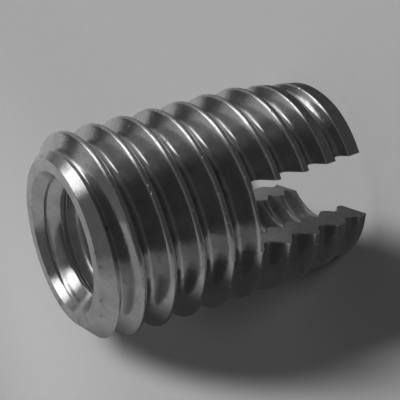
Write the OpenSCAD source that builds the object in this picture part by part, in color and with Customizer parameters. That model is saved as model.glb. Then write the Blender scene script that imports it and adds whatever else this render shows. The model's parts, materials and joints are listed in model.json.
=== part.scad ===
// A slotted self-tapping threaded insert, turned from one piece of free-cutting steel.
// It stands on its slotted end: the base plane is z = 0, +Z runs up the axis to the
// plain end where the screw enters, and the cutting slot runs along Y.
// All sizes are in millimetres.

/* [Overall] */
// Length from the slotted end to the plain end
insert_length = 13.8; // [11.4:0.1:22]
// Diameter over the crests of the outer thread
thread_diameter = 9.9; // [8.2:0.05:12]

/* [Outer thread] */
// Pitch of the outer thread
thread_pitch = 1.5; // [1.25:0.05:1.8]
// Width of the flat left on each crest
crest_flat = 0.19; // [0.1:0.01:0.3]
// Width of the flat at the bottom of the groove
root_flat = 0.27; // [0.1:0.01:0.35]
// Angle of each flank from a plane square to the axis
flank_angle = 30; // [25:1:35]
// Angle from +X at which the middle of the groove leaves the slotted end
thread_turn = 41; // [0:0.5:359.5]

/* [Screw hole] */
// Diameter of the bore, over the crests of the inner thread
bore_diameter = 5.0; // [4:0.05:6]
// Width of the countersink, from the bore to the land
countersink_width = 0.88; // [0.2:0.01:1]
// Angle of the countersink, from side to side
countersink_angle = 80; // [60:1:120]

/* [Plain end] */
// Width of the flat land round the countersink
land_width = 0.55; // [0.2:0.05:0.75]
// Height of the lead chamfer between the land and the crests
lead_chamfer_height = 1.0; // [0.3:0.05:1.5]

/* [Slotted end] */
// How far the crests are turned down, on the radius, at the slotted end
tip_drop = 0.53; // [0.1:0.01:0.8]
// Height over which the crests taper towards the slotted end
taper_height = 3.6; // [1:0.1:5]

/* [Cutting slot] */
// Width of the slot that goes right through the slotted end
slot_width = 3.0; // [1.2:0.1:3.8]
// Depth of the slot from the slotted end
slot_depth = 6.2; // [3:0.1:9]

/* [Hidden] */

// Facets round the whole turned body
body_facets = 144;
// Sections of the groove in each turn of the thread
turn_steps = 36;
// How far the cutters reach past what they cut
overshoot = 1;
// How far the groove's cutter stands outside the crests
crest_clearance = 0.04;

// The groove's depth follows from its pitch, its two flats and its flanks
thread_depth = (thread_pitch - crest_flat - root_flat) / 2 / tan(flank_angle);
crest_radius = thread_diameter / 2;
root_radius = crest_radius - thread_depth;
cutter_radius = crest_radius + crest_clearance;
tip_radius = crest_radius - tip_drop;

bore_radius = bore_diameter / 2;
countersink_radius = bore_radius + countersink_width;
countersink_depth = countersink_width / tan(countersink_angle / 2);
land_radius = countersink_radius + land_width;

// The groove starts a pitch below the slotted end and runs out past the plain end
groove_turns = ceil(insert_length / thread_pitch) + 2;
groove_steps = groove_turns * turn_steps;

// Half the groove's width at a radius
function groove_half_width(radius) =
    root_flat / 2 + (radius - root_radius) * tan(flank_angle);

// Corners of the groove's section as [radius, height above its middle]
groove_section = [
    [root_radius, root_flat / 2],
    [root_radius, -root_flat / 2],
    [cutter_radius, -groove_half_width(cutter_radius)],
    [cutter_radius, groove_half_width(cutter_radius)]
];

// Section i of the right-hand groove, turned and lifted along the helix
function groove_ring(i) =
    let (turns = i / turn_steps)
    let (angle = thread_turn + 360 * turns, middle = thread_pitch * (turns - 1))
    [for (corner = groove_section)
        [corner[0] * cos(angle), corner[0] * sin(angle), middle + corner[1]]];

// The turned body before its thread, hole and slot are cut
module blank() {
    rotate_extrude($fn = body_facets)
        polygon([
            [0, 0],
            [tip_radius, 0],
            [crest_radius, taper_height],
            [crest_radius, insert_length - lead_chamfer_height],
            [land_radius, insert_length],
            [0, insert_length]
        ]);
}

// The helical groove that leaves the outer thread standing
module thread_groove() {
    sides = len(groove_section);
    points = [for (i = [0:groove_steps]) each groove_ring(i)];
    first_cap = [for (k = [sides - 1:-1:0]) k];
    last_cap = [for (k = [0:sides - 1]) groove_steps * sides + k];
    walls = [
        for (i = [0:groove_steps - 1])
            for (k = [0:sides - 1])
                let (a = i * sides + k, b = i * sides + (k + 1) % sides)
                each [[a, b, a + sides], [b, b + sides, a + sides]]
    ];
    polyhedron(points = points, faces = concat([first_cap, last_cap], walls));
}

// The screw hole with its countersink
module screw_hole() {
    translate([0, 0, -overshoot])
        cylinder(r = bore_radius, h = insert_length + 2 * overshoot, $fn = body_facets);
    rotate_extrude($fn = body_facets)
        polygon([
            [0, insert_length - countersink_depth],
            [bore_radius, insert_length - countersink_depth],
            [countersink_radius, insert_length],
            [countersink_radius, insert_length + overshoot],
            [0, insert_length + overshoot]
        ]);
}

// The slot that cuts both walls and leaves the thread with cutting edges
module cutting_slot() {
    reach = thread_diameter + 2 * overshoot;
    translate([-slot_width / 2, -reach / 2, -overshoot])
        cube([slot_width, reach, slot_depth + overshoot]);
}

module insert() {
    color("silver")
        difference() {
            blank();
            thread_groove();
            screw_hole();
            cutting_slot();
        }
}

insert();
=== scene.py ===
import json
import math

import bpy
import numpy as np
from mathutils import Matrix, Vector


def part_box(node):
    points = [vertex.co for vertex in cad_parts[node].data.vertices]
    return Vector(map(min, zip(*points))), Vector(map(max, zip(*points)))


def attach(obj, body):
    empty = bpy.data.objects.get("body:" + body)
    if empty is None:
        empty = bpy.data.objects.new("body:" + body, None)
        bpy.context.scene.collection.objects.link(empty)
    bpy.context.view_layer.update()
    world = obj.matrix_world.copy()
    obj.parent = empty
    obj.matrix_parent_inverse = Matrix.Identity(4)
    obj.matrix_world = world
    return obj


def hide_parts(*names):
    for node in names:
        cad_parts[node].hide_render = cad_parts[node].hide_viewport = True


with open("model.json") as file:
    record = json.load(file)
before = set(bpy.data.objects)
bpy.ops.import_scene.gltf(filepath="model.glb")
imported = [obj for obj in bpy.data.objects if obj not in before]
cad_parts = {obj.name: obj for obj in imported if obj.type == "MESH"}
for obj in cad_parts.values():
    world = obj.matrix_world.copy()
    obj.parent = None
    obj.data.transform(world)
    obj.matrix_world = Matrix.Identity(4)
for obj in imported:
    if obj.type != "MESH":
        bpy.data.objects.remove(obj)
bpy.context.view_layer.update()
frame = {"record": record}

# ----------------------------------------------------------------------------------------
# The insert. One bushing turned from free-cutting steel bar: the ends are faced, the lead
# chamfer and the taper are turned, both threads are cut, and a saw opens the slot across
# the lower end. A thin bright zinc coat covers all of it.

MM = 0.001

low_corner, high_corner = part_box("insert")
mounts = {mount["name"]: mount for mount in frame["record"]["mounts"]}

length = (high_corner.z - low_corner.z) / MM
crest_radius = (high_corner.x - low_corner.x) / 2 / MM
bore_radius = mounts["screw_hole"]["dims"]["r_mm"]

# Outer thread
pitch = 1.5
crest_flat = 0.19
root_flat = 0.27
flank_angle = 30
flank_slope = 1 / math.tan(math.radians(flank_angle))
groove_angle = 41
groove_start = -pitch * groove_angle / 360
root_radius = crest_radius - (pitch - crest_flat - root_flat) / 2 * flank_slope
crest_round = 0.12
root_round = 0.30

# Inner thread
inner_pitch = 1.0
inner_crest_flat = 0.25
inner_root_flat = 0.125
inner_depth = (inner_pitch - inner_crest_flat - inner_root_flat) / 2 * flank_slope
inner_start = 0.0
inner_round = 0.15

# Ends
countersink_width = 0.88
countersink_half_angle = 40
countersink_slope = math.tan(math.radians(countersink_half_angle))
land_width = 0.55
lead_chamfer_height = 1.0
tip_drop = 0.53
taper_height = 3.6
edge_break = 0.03
land_edge_slope = 4
corner_round = 0.05

# The first turn under the rim is a little fuller than the rest
rim_fullness = 0.15
rim_fade = 0.5
rim_fade_end = 1.4

countersink_radius = bore_radius + countersink_width
land_radius = countersink_radius + land_width
lead_chamfer_slope = (crest_radius - land_radius) / lead_chamfer_height
tip_radius = crest_radius - tip_drop

# Slot, with the small broken edge between its walls and the two skins
slot_half = 1.5
slot_depth = 6.2
slot_burr = 0.015

# Rows up the height, and columns round each jaw and across each end of the slot. The strips
# next to the slot's edges take a small share of the width, so that the edges stay crisp. The
# line where a skin meets a slot wall is worked out over in a few rounds.
row_step = 0.0285
jaw_columns = 40
slot_columns = 10
edge_share = 0.003
wall_rounds = 12


def soft_min(a, b, width):
    """The smaller of two radii, with the corner between them rounded over a width."""
    near = np.clip(1 - np.abs(a - b) / width, 0, None)
    return np.minimum(a, b) - near * near * width / 4


def soft_max(a, b, width):
    """The larger of two radii, with the corner between them rounded over a width."""
    return -soft_min(-a, -b, width)


def above_middle(height, turn, lead, start):
    """Distance along the axis above the middle of the nearest turn of a right-hand groove."""
    turns = (height - start) / lead - turn / (2 * math.pi)
    return (turns - np.round(turns)) * lead


def outer_radius(height, turn):
    """The outside of the bushing: thread, lead chamfer, taper and broken edges."""
    above = above_middle(height, turn, pitch, groove_start)
    fullness = rim_fullness * np.clip((rim_fade_end - length + height) / rim_fade, 0, 1)
    flank = root_radius + (np.maximum(above + fullness, -above) - root_flat / 2) * flank_slope
    thread = soft_min(soft_max(flank, root_radius, root_round), crest_radius, crest_round)
    chamfer = land_radius + (length - height) * lead_chamfer_slope
    taper = tip_radius + height * tip_drop / taper_height
    body = soft_min(soft_min(thread, taper, corner_round), chamfer, corner_round)
    upper_edge = land_radius - edge_break + (length - height) * land_edge_slope
    lower_edge = tip_radius - edge_break + height
    return np.minimum(np.minimum(body, upper_edge), lower_edge)


def hole_radius(height, turn):
    """The hole: inner thread, countersink and broken edge."""
    off = np.abs(above_middle(height, turn, inner_pitch, inner_start))
    flank = bore_radius + inner_depth - (off - inner_root_flat / 2) * flank_slope
    deepest = bore_radius + inner_depth
    thread = soft_max(soft_min(flank, deepest, inner_round), bore_radius, inner_round)
    sunk = bore_radius + (height - length) * countersink_slope + countersink_width
    return soft_max(thread, sunk, inner_round)


def side_angles(radius_at, heights, side):
    """Angles at which the skin meets one wall of the slot, solved row by row."""
    angle = np.full(heights.shape, math.pi / 2 * (1 if side in (1, 2) else -1))
    turn_sign = {0: 1, 1: -1, 2: 1, 3: -1}[side]
    middle = {0: -math.pi / 2, 1: math.pi / 2, 2: math.pi / 2, 3: 3 * math.pi / 2}[side]
    for _ in range(wall_rounds):
        radius = radius_at(heights, angle)
        angle = middle + turn_sign * np.arcsin((slot_half + slot_burr) / radius)
    return angle


def skin_points(radius_at, heights):
    """A grid of points on one skin: a row for each height, and four arcs of columns."""
    sides = [side_angles(radius_at, heights, side) for side in range(4)]
    sides.append(sides[0] + 2 * math.pi)
    counts = [jaw_columns, slot_columns, jaw_columns, slot_columns]
    columns = []
    for arc, count in enumerate(counts):
        shares = np.linspace(0, 1, count + 1)
        shares[1] = edge_share
        shares[-2] = 1 - edge_share
        columns += [sides[arc] * (1 - share) + sides[arc + 1] * share for share in shares[:-1]]
    angles = np.stack(columns, axis=1)
    radii = radius_at(heights[:, None], angles)
    levels = np.broadcast_to(heights[:, None], radii.shape)
    return np.stack([radii * np.cos(angles), radii * np.sin(angles), levels], axis=2)


# Rows crowd together at both end faces, and stop and start again at the slot's floor
edge_rows = [0, edge_break / 3, edge_break * 2 / 3, edge_break]
jaw_rows = round((slot_depth - edge_break) / row_step)
top_rows = round((length - slot_depth - slot_burr - edge_break) / row_step)
heights = np.concatenate([
    edge_rows[:-1],
    np.linspace(edge_break, slot_depth, jaw_rows + 1),
    np.linspace(slot_depth + slot_burr, length - edge_break, top_rows + 1),
    [length - step for step in edge_rows[-2::-1]],
])
slot_row = len(edge_rows) - 1 + jaw_rows
columns = 2 * (jaw_columns + slot_columns)
corners = [0, jaw_columns, jaw_columns + slot_columns, 2 * jaw_columns + slot_columns]

outer = skin_points(outer_radius, heights)
inner = skin_points(hole_radius, heights)

points = []
smooth_faces = []
flat_faces = []


def add_points(block):
    """Adds a block of points and gives back their numbers in the same layout."""
    first = len(points)
    points.extend(block.reshape(-1, 3))
    return np.arange(first, len(points)).reshape(block.shape[:-1])


outer_ids = add_points(outer)
inner_ids = add_points(inner)


def in_slot(column):
    """True where the strip right of a column lies across an end of the slot."""
    return jaw_columns <= column < corners[2] or column >= corners[3]


# The two skins
for ids, outward in ((outer_ids, True), (inner_ids, False)):
    for column in range(columns):
        after = (column + 1) % columns
        first = slot_row + 1 if in_slot(column) else 0
        for row in range(first, len(heights) - 1):
            face = [ids[row, column], ids[row, after], ids[row + 1, after], ids[row + 1, column]]
            smooth_faces.append(face if outward else face[::-1])

# The end faces
top = len(heights) - 1
for column in range(columns):
    after = (column + 1) % columns
    rim = [outer_ids[top, column], outer_ids[top, after]]
    mouth = [inner_ids[top, after], inner_ids[top, column]]
    flat_faces.append(rim + mouth)
    if not in_slot(column):
        mouth = [inner_ids[0, column], inner_ids[0, after]]
        rim = [outer_ids[0, after], outer_ids[0, column]]
        flat_faces.append(mouth + rim)

# The four slot walls, with a small broken edge to each skin, and the corners of the floor
floor_ends = {}
rows = slice(0, slot_row + 1)
for number, column in enumerate(corners):
    wall_x = slot_half if number in (0, 1) else -slot_half
    away = 1 if number in (1, 2) else -1
    wall = []
    for skin, step in ((outer, -1), (inner, 1)):
        line = skin[rows, column].copy()
        line[:, 0] = wall_x
        line[:, 1] += away * step * slot_burr
        wall.append(add_points(line))
    strips = [outer_ids[rows, column], wall[0], wall[1], inner_ids[rows, column]]
    facing = number in (0, 2)
    for near, far in zip(strips, strips[1:]):
        for row in range(slot_row):
            face = [near[row], far[row], far[row + 1], near[row + 1]]
            flat_faces.append(face[::-1] if facing else face)
    foot = [strip[0] for strip in strips]
    flat_faces.append(foot if facing else foot[::-1])
    for ids, end in ((outer_ids, wall[0]), (inner_ids, wall[1])):
        face = [ids[slot_row, column], ids[slot_row + 1, column], end[slot_row]]
        straight = (ids is outer_ids) == facing
        flat_faces.append(face if straight else face[::-1])
    floor_ends[number] = (wall[0][slot_row], wall[1][slot_row])

# The two floors of the slot
for start, stop in ((1, 2), (3, 0)):
    lines = []
    span = [(corners[start] + k) % columns for k in range(slot_columns + 1)]
    for skin, ids, grow, which in ((outer, outer_ids, -1, 0), (inner, inner_ids, 1, 1)):
        line = skin[slot_row + 1, span].copy()
        flat = line[:, :2]
        flat *= 1 + grow * slot_burr / np.linalg.norm(flat, axis=1, keepdims=True)
        line[:, 2] = slot_depth
        inside = add_points(line[1:-1])
        edge = [floor_ends[start][which], *inside, floor_ends[stop][which]]
        lines.append(edge)
        above = ids[slot_row + 1, span]
        for k in range(slot_columns):
            face = [above[k], edge[k], edge[k + 1], above[k + 1]]
            flat_faces.append(face if which == 0 else face[::-1])
    for k in range(slot_columns):
        flat_faces.append([lines[0][k], lines[1][k], lines[1][k + 1], lines[0][k + 1]])

mesh = bpy.data.meshes.new("insert_body")
mesh.from_pydata(
    (np.array(points) * MM).tolist(),
    [],
    [[int(i) for i in face] for face in smooth_faces + flat_faces],
)
shading = [True] * len(smooth_faces) + [False] * len(flat_faces)
mesh.polygons.foreach_set("use_smooth", shading)
mesh.update()
insert = bpy.data.objects.new("insert_body", mesh)
bpy.context.scene.collection.objects.link(insert)

# Colours and finish. All lengths inside the material are in millimetres.
bright_zinc = (0.69, 0.69, 0.685, 1)
dull_zinc = (0.55, 0.55, 0.55, 1)
worn_steel = (0.74, 0.74, 0.735, 1)
oily_dirt = (0.16, 0.15, 0.14, 1)

# How much of each colour shows: wear on the crests, dirt in patches, more dirt in the roots
crest_wear = 0.6
patch_dirt = 0.25
root_dirt = 0.45

# Roughness of the clean coat, and what dullness, grain, marks, sawing, dirt and shelter add
coat_roughness = 0.08
dull_roughness = 0.08
grain_roughness = 0.06
mark_roughness = 0.05
sawn_roughness = 0.12
dirt_roughness = 0.12
bore_roughness = 0.16

# Heights of the marks, in metres, and the reach of the saw that cut the slot
wave_height = 0.012 * MM
fine_mark_height = 0.0016 * MM
broad_mark_height = 0.004 * MM
nick_depth = 0.012 * MM
saw_radius = 24

# The bore is a little less bright than the metal outside it
bore_dulling = 0.06


class Signal:
    """One output of a node in a material, written in sums as if it were a number."""

    def __init__(self, tree, socket=None):
        self.tree = tree
        self.socket = socket

    def node(self, kind, settings={}, values={}, output=0):
        """Adds a node of a type, sets it up, fills or links its sockets, and gives one output."""
        node = self.tree.nodes.new(kind)
        for name, setting in settings.items():
            setattr(node, name, setting)
        for name, value in values.items():
            if isinstance(value, Signal):
                self.tree.links.new(value.socket, node.inputs[name])
            else:
                node.inputs[name].default_value = value
        return Signal(self.tree, node.outputs[output])

    def also(self, output):
        """Another output of the node that this one comes from."""
        return Signal(self.tree, self.socket.node.outputs[output])

    def math(self, operation, *others):
        values = dict(enumerate((self, *others)))
        return self.node("ShaderNodeMath", {"operation": operation}, values)

    def __add__(self, other):
        return self.math("ADD", other)

    def __mul__(self, other):
        return self.math("MULTIPLY", other)

    def __sub__(self, other):
        return self.math("SUBTRACT", other)

    def __rsub__(self, other):
        values = {0: other, 1: self}
        return self.node("ShaderNodeMath", {"operation": "SUBTRACT"}, values)

    def __truediv__(self, other):
        return self.math("DIVIDE", other)

    __radd__ = __add__
    __rmul__ = __mul__

    def step(self, low, high):
        """Rises smoothly from 0 to 1 as this value goes from low to high."""
        return self.node(
            "ShaderNodeMapRange",
            {"interpolation_type": "SMOOTHSTEP"},
            {"Value": self, "From Min": low, "From Max": high},
        )

    def blend(self, first, second):
        """First colour where this value is 0, second colour where it is 1."""
        return self.node(
            "ShaderNodeMix",
            {"data_type": "RGBA"},
            {"Factor": self, 6: first, 7: second},
            output=2,
        )

    def vector(self, y, z):
        return self.node("ShaderNodeCombineXYZ", {}, {"X": self, "Y": y, "Z": z})

    def noise(self, scale, detail=2.0, roughness=0.5):
        """Smooth random blotches over this vector."""
        return self.node(
            "ShaderNodeTexNoise",
            {},
            {"Vector": self, "Scale": scale, "Detail": detail, "Roughness": roughness},
        )

    def bump(self, height, before=None):
        """A surface normal tilted by this height, in metres, on top of an earlier one."""
        values = {"Height": self, "Distance": height, "Strength": 1.0}
        if before is not None:
            values["Normal"] = before
        return self.node("ShaderNodeBump", {}, values)


steel = bpy.data.materials.new("bright_zinc_steel")
steel.use_nodes = True
shader = steel.node_tree.nodes["Principled BSDF"]
place = Signal(steel.node_tree).node("ShaderNodeTexCoord", output="Object")
place = place.node("ShaderNodeVectorMath", {"operation": "SCALE"}, {0: place, "Scale": 1 / MM})
x = place.node("ShaderNodeSeparateXYZ", {}, {0: place})
y = x.also("Y")
z = x.also("Z")
radius = (x * x + y * y).math("SQRT")
turns = y.math("ARCTAN2", x) / (2 * math.pi)

# Which surface this is: a wall or the floor of the slot, the outer skin, a crest, a root, the
# bore below the countersink. Each runs into the next over a tenth of a millimetre or so.
past_wall = x.math("ABSOLUTE").step(slot_half + 0.005, slot_half + 0.02)
past_floor = z.step(slot_depth + 0.005, slot_depth + 0.02)
in_slot_area = (1 - past_wall) * (1 - past_floor)
hole_depth = bore_radius + inner_depth
outside = radius.step(hole_depth + 0.2, hole_depth + 0.3)
taper_there = tip_radius + z * (tip_drop / taper_height)
crest_there = taper_there.math("MINIMUM", crest_radius)
crest = (crest_there - radius).step(0.10, 0.02) * outside
root = radius.step(root_radius + 0.22, root_radius + 0.02) * outside
sunk_there = countersink_radius + (z - length) * countersink_slope
in_bore = (radius - sunk_there).step(0.03, 0.09) * (1 - outside) * (1 - in_slot_area)

# Turning marks follow the outer helix; saw marks sweep along the slot. Both are long one way
# and narrow the other.
helix = (z / pitch - turns).math("FRACT") * pitch + radius
turned = (x * 0.35).vector(y * 0.35, helix * 9 + z * 0.2)
fine_marks = turned.noise(scale=2.2, detail=4.0, roughness=0.7)
broad_marks = turned.noise(scale=0.5, detail=1.0)
from_saw = z + saw_radius
saw_sweep = (y * y + from_saw * from_saw).math("SQRT")
sawn = (x * 0.3).vector(y * 0.12, saw_sweep * 6)
saw_marks = sawn.noise(scale=2.5, detail=3.0, roughness=0.65)
marks = in_slot_area.blend(fine_marks, saw_marks)

# Blotches in the coat, its fine grain, patches of dirt and nicks in the crests
mottle = place.noise(scale=0.9, detail=4.0, roughness=0.6)
grain = place.noise(scale=14.0, detail=3.0, roughness=0.6)
dirt_patches = place.noise(scale=1.7, detail=5.0, roughness=0.65).step(0.55, 0.72)
nicks = place.noise(scale=5.0, detail=2.0, roughness=0.5).step(0.62, 0.72)

coat = mottle.step(0.3, 0.7).blend(bright_zinc, dull_zinc)
coat = (crest * crest_wear).blend(coat, worn_steel)
coat = (dirt_patches * (patch_dirt + root * root_dirt)).blend(coat, oily_dirt)

roughness = coat_roughness + mottle.step(0.35, 0.75) * dull_roughness
roughness = roughness + grain * grain_roughness + fine_marks * mark_roughness
roughness = roughness + in_slot_area * sawn_roughness + dirt_patches * dirt_roughness
roughness = roughness + in_bore * bore_roughness

waves = mottle.bump(wave_height)
lines = marks.bump(fine_mark_height, waves)
lines = (broad_marks * (1 - in_slot_area)).bump(broad_mark_height, lines)
surface = (nicks * crest * -1).bump(nick_depth, lines)

finish = {
    "Base Color": coat,
    "Metallic": 1 - in_bore * bore_dulling,
    "Roughness": roughness,
    "Normal": surface,
}
for socket, value in finish.items():
    steel.node_tree.links.new(value.socket, shader.inputs[socket])
mesh.materials.append(steel)

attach(insert, "root")
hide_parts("insert")

# ----------------------------------------------------------------------------------------
# The floor. A wide sheet of plain pale card under the insert, with a long oval of painted shade
# beside it and painted light towards one corner. Inside the slotted end the card glows with
# painted light, as if the slot and the bore let light through to it.

floor_half = 1.5
pale_card = 0.515
# The card's tone inside the painted shade
painted_shade_tone = 0.07
# The strength of the painted glow where light seems to come through the slot
painted_slot_glow = 0.35

# The oval of painted shade, in millimetres: its middle, the way it points, half its length and
# width
shade_x = -12.0
shade_y = 14.9
shade_angle = math.radians(104.2)
shade_half_length = 32.7
shade_half_width = 6.65

# Where the painted shade ends and is full, as shares of the oval, and how much less on its soft
# side
shade_end = 1.105
shade_full = 0.82
soft_end_less = 0.18
soft_full_less = 0.315

# The pool of painted light towards one corner of the card: its middle, how far it reaches and how
# much paler it makes the card
corner_x = -22
corner_y = 49.5
corner_reach = 30
painted_light_lift = 0.11

# How strongly the card's fibre shows
fibre_depth = 0.06

floor_mesh = bpy.data.meshes.new("floor")
floor_corners = [(-1, -1), (1, -1), (1, 1), (-1, 1)]
floor_mesh.from_pydata(
    [(side_x * floor_half, side_y * floor_half, 0) for side_x, side_y in floor_corners],
    [],
    [[0, 1, 2, 3]],
)
floor = bpy.data.objects.new("floor", floor_mesh)
floor.visible_glossy = False
bpy.context.scene.collection.objects.link(floor)

card = bpy.data.materials.new("pale_card")
card.use_nodes = True
card_shader = card.node_tree.nodes["Principled BSDF"]
spot = Signal(card.node_tree).node("ShaderNodeTexCoord", output="Object")
spot = spot.node("ShaderNodeVectorMath", {"operation": "SCALE"}, {0: spot, "Scale": 1 / MM})
floor_x = spot.node("ShaderNodeSeparateXYZ", {}, {0: spot})
floor_y = floor_x.also("Y")

# Painted shade: full inside the oval, fading past its edge, with a softer edge on one side
shade_cos = math.cos(shade_angle)
shade_sin = math.sin(shade_angle)
from_middle_x = floor_x - shade_x
from_middle_y = floor_y - shade_y
lengthwise = (from_middle_x * shade_cos + from_middle_y * shade_sin) / shade_half_length
crosswise = (from_middle_y * shade_cos - from_middle_x * shade_sin) / shade_half_width
soft_side = crosswise.step(-0.3, 0.3)
end_there = shade_end - soft_side * soft_end_less
full_there = shade_full - soft_side * soft_full_less
reach = (lengthwise * lengthwise + crosswise * crosswise).math("SQRT")
painted_shade = reach.step(end_there, full_there) * lengthwise.step(0.74, 0.46)

# Painted light: paler towards one corner
from_corner_x = floor_x - corner_x
from_corner_y = floor_y - corner_y
from_corner = (from_corner_x * from_corner_x + from_corner_y * from_corner_y).math("SQRT")
painted_corner_light = from_corner.step(corner_reach, 0)

# Painted light: the card glows inside the insert, and just past one end of the slot
from_axis = (floor_x * floor_x + floor_y * floor_y).math("SQRT")
under_insert = from_axis.step(5.6, 4.1)
along_slot = floor_x.math("ABSOLUTE").step(2.9, 1.7) * floor_y.step(7.4, 5.6) * floor_y.step(0, 2)
painted_light_through_slot = under_insert.math("MAXIMUM", along_slot) * (1 - painted_shade)

fibre = spot.noise(scale=1.2, detail=4.0, roughness=0.6) * fibre_depth + (1 - fibre_depth / 2)
tone = pale_card + painted_corner_light * painted_light_lift
tone = tone + (painted_shade_tone - tone) * painted_shade
tone = tone * fibre * (1 - painted_light_through_slot)
painted_glow = painted_light_through_slot * fibre * painted_slot_glow

card.node_tree.links.new(tone.vector(tone, tone).socket, card_shader.inputs["Base Color"])
card.node_tree.links.new(painted_glow.vector(painted_glow, painted_glow).socket, card_shader.inputs["Emission Color"])
card_shader.inputs["Emission Strength"].default_value = 1
card_shader.inputs["Roughness"].default_value = 0.85
card_shader.inputs["Specular IOR Level"].default_value = 0.2
floor_mesh.materials.append(card)

# ----------------------------------------------------------------------------------------
# The reflector. A tall card that glows with painted light, stands close behind the insert and
# shows only in its bright metal, with a painted shade of the insert soft across the middle.

reflector_bearing = math.radians(158)
reflector_gap = 5.03
reflector_half = 80
# Levels of the card's painted glow: lit, lifted to one side, far off, in the painted shade and
# low down
painted_light_level = 0.288
painted_near_lift = 0.12
painted_far_level = 0.196
painted_shade_level = 0.038
painted_low_level = 0.08

# The oval of painted shade on it: half its width and height, and where it ends and is full, as
# shares
dark_half_width = 10.3
dark_half_height = 11
dark_end = 1.37
dark_full = 1.03

outward = Vector((math.cos(reflector_bearing), math.sin(reflector_bearing), 0))
sideways = Vector((-outward.y, outward.x, 0))
left_edge = outward * reflector_gap - sideways * reflector_half
right_edge = outward * reflector_gap + sideways * reflector_half
rise = Vector((0, 0, reflector_half))
lower_corners = [left_edge - rise, right_edge - rise]
upper_corners = [right_edge + rise, left_edge + rise]
reflector_mesh = bpy.data.meshes.new("reflector")
reflector_mesh.from_pydata(
    [corner * MM for corner in lower_corners + upper_corners],
    [],
    [[0, 1, 2, 3]],
)
reflector = bpy.data.objects.new("reflector", reflector_mesh)
reflector.visible_camera = False
reflector.visible_diffuse = False
reflector.visible_shadow = False
bpy.context.scene.collection.objects.link(reflector)

glowing_card = bpy.data.materials.new("reflector_card")
glowing_card.use_nodes = True
glowing_card.node_tree.nodes.remove(glowing_card.node_tree.nodes["Principled BSDF"])
spot = Signal(glowing_card.node_tree).node("ShaderNodeTexCoord", output="Object")
spot = spot.node("ShaderNodeVectorMath", {"operation": "SCALE"}, {0: spot, "Scale": 1 / MM})
across = spot.node(
    "ShaderNodeVectorMath", {"operation": "DOT_PRODUCT"}, {0: spot, 1: sideways}, output="Value"
)
upward = spot.node("ShaderNodeSeparateXYZ", {}, {0: spot}, output="Z")

# Painted shade standing for the insert's shadow on the card, an oval that is cut off along one
# side and below
wide = across / dark_half_width
high = upward / dark_half_height
painted_shade = (wide * wide + high * high).math("SQRT").step(dark_end, dark_full)
painted_shade = painted_shade * across.step(-2.2, -0.6) * (upward + across).step(-3, 0)

# Painted light and shade: the glow is brighter to one side, dimmer to the other, darkest in the
# painted shade and darker low down
tone = painted_light_level + across.step(0, -20) * painted_near_lift
tone = tone + (painted_far_level - tone) * across.step(8, 16)
tone = tone + (painted_shade_level - tone) * painted_shade
tone = tone + (painted_low_level - tone) * upward.step(-7, -15)
emission = spot.node("ShaderNodeEmission", {}, {"Color": tone.vector(tone, tone)})
surface_output = glowing_card.node_tree.nodes["Material Output"]
glowing_card.node_tree.links.new(emission.socket, surface_output.inputs["Surface"])
reflector_mesh.materials.append(glowing_card)

# ----------------------------------------------------------------------------------------
# Light and camera. A dim room with a broad soft window on one side, pale and grey cards
# round about, and one soft lamp whose only work is to light the floor.

world = bpy.data.worlds.new("studio")
bpy.context.scene.world = world
world.use_nodes = True
ray = Signal(world.node_tree).node("ShaderNodeTexCoord", output="Generated")
ray_x = ray.node("ShaderNodeSeparateXYZ", {}, {0: ray})
around = ray_x.also("Y").math("ARCTAN2", ray_x) * (180 / math.pi)
height_angle = ray_x.also("Z").math("ARCSINE") * (180 / math.pi)


def panel(left, right, bottom, top, soft, strength):
    """A light panel between two bearings and two heights, in degrees, with soft edges."""
    sideways = around.step(left - soft, left + soft) * around.step(right + soft, right - soft)
    above_bottom = height_angle.step(bottom - soft, bottom + soft)
    below_top = height_angle.step(top + soft, top - soft)
    upright = above_bottom * below_top
    return sideways * upright * strength


# The room: dim all round, a little brighter overhead
walls = 0.05
ceiling = 0.05
overhead = 0.02
room = walls + height_angle.step(46, 62) * ceiling + height_angle.step(64, 76) * overhead

# The window: a broad soft light that leans over a little, brightest at its near end
window_bearing = 21
window_rise = 42
window_lean = math.radians(16)
window_strength = 1.8
window_falloff = 0.23
from_window = around - window_bearing
above_window = height_angle - window_rise
window_along = from_window * math.cos(window_lean) + above_window * math.sin(window_lean)
window_across = above_window * math.cos(window_lean) - from_window * math.sin(window_lean)
in_window_length = window_along.math("ABSOLUTE").step(27, 14)
in_window_width = window_across.math("ABSOLUTE").step(22, 7)
window = in_window_length * in_window_width
window = window * (window_strength - window_along.step(-20, 20) * window_falloff)

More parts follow.
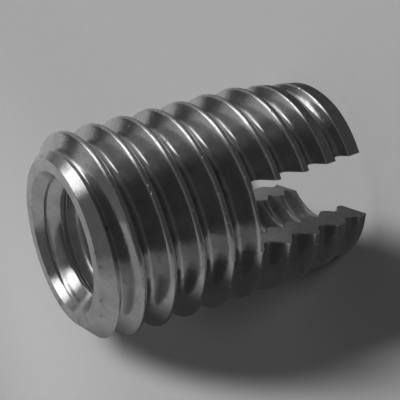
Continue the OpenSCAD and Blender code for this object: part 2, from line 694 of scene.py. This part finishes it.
# Cards round about: two under the window, a faint one before them, one beside its far end and
# a tall one past it
light = room + window
light = light + panel(left=10, right=60, bottom=-24, top=32, soft=5, strength=0.18)
light = light + panel(left=60, right=78, bottom=-24, top=20, soft=5, strength=0.18)
light = light + panel(left=-16, right=20, bottom=-30, top=26, soft=12, strength=0.10)
light = light + panel(left=44, right=67, bottom=40, top=58, soft=6, strength=0.28)
light = light + panel(left=74, right=130, bottom=-20, top=60, soft=2, strength=0.33)

# The wall behind the floor is plain and pale on every side
backdrop = 0.36
seen = ray.node("ShaderNodeLightPath", output="Is Camera Ray")
light = light + (backdrop - light) * seen
background = world.node_tree.nodes["Background"]
world.node_tree.links.new(light.vector(light, light).socket, background.inputs["Color"])

# The lamp for the floor
lamp_bearing = math.radians(-65)
lamp_height = math.radians(38)
lamp_strength = 2.6
lamp_softness = math.radians(14)
lamp_way = Vector((
    math.cos(lamp_bearing) * math.cos(lamp_height),
    math.sin(lamp_bearing) * math.cos(lamp_height),
    math.sin(lamp_height),
))
lamp = bpy.data.objects.new("floor_lamp", bpy.data.lights.new("floor_lamp", "SUN"))
lamp.data.energy = lamp_strength
lamp.data.angle = lamp_softness
lamp.visible_glossy = False
lamp.rotation_mode = "QUATERNION"
lamp.rotation_quaternion = lamp_way.to_track_quat("Z", "Y")
bpy.context.scene.collection.objects.link(lamp)

# The camera looks down on the plain end, turned on its side
aim = Vector((0.164, -0.0975, 6.595)) * MM
distance = 62.27 * MM
azimuth = math.radians(17.785)
elevation = math.radians(25.109)
roll = math.radians(106.25)
focal_length = 117.93
frame_width = 36
back = Vector((
    math.sin(azimuth) * math.cos(elevation),
    -math.cos(azimuth) * math.cos(elevation),
    math.sin(elevation),
))
level_up = (Vector((0, 0, 1)) - back * back.z).normalized()
level_right = level_up.cross(back)
up = level_up * math.cos(roll) + level_right * math.sin(roll)
right = up.cross(back)
camera = bpy.data.objects.new("camera", bpy.data.cameras.new("camera"))
turned_axes = Matrix((right, up, back)).transposed().to_4x4()
camera.matrix_world = Matrix.Translation(aim + back * distance) @ turned_axes
camera.data.lens = focal_length
camera.data.sensor_width = frame_width
camera.data.clip_start = 0.001
camera.data.clip_end = 10
bpy.context.scene.collection.objects.link(camera)
bpy.context.scene.camera = camera
bpy.context.scene.view_settings.view_transform = "Standard"
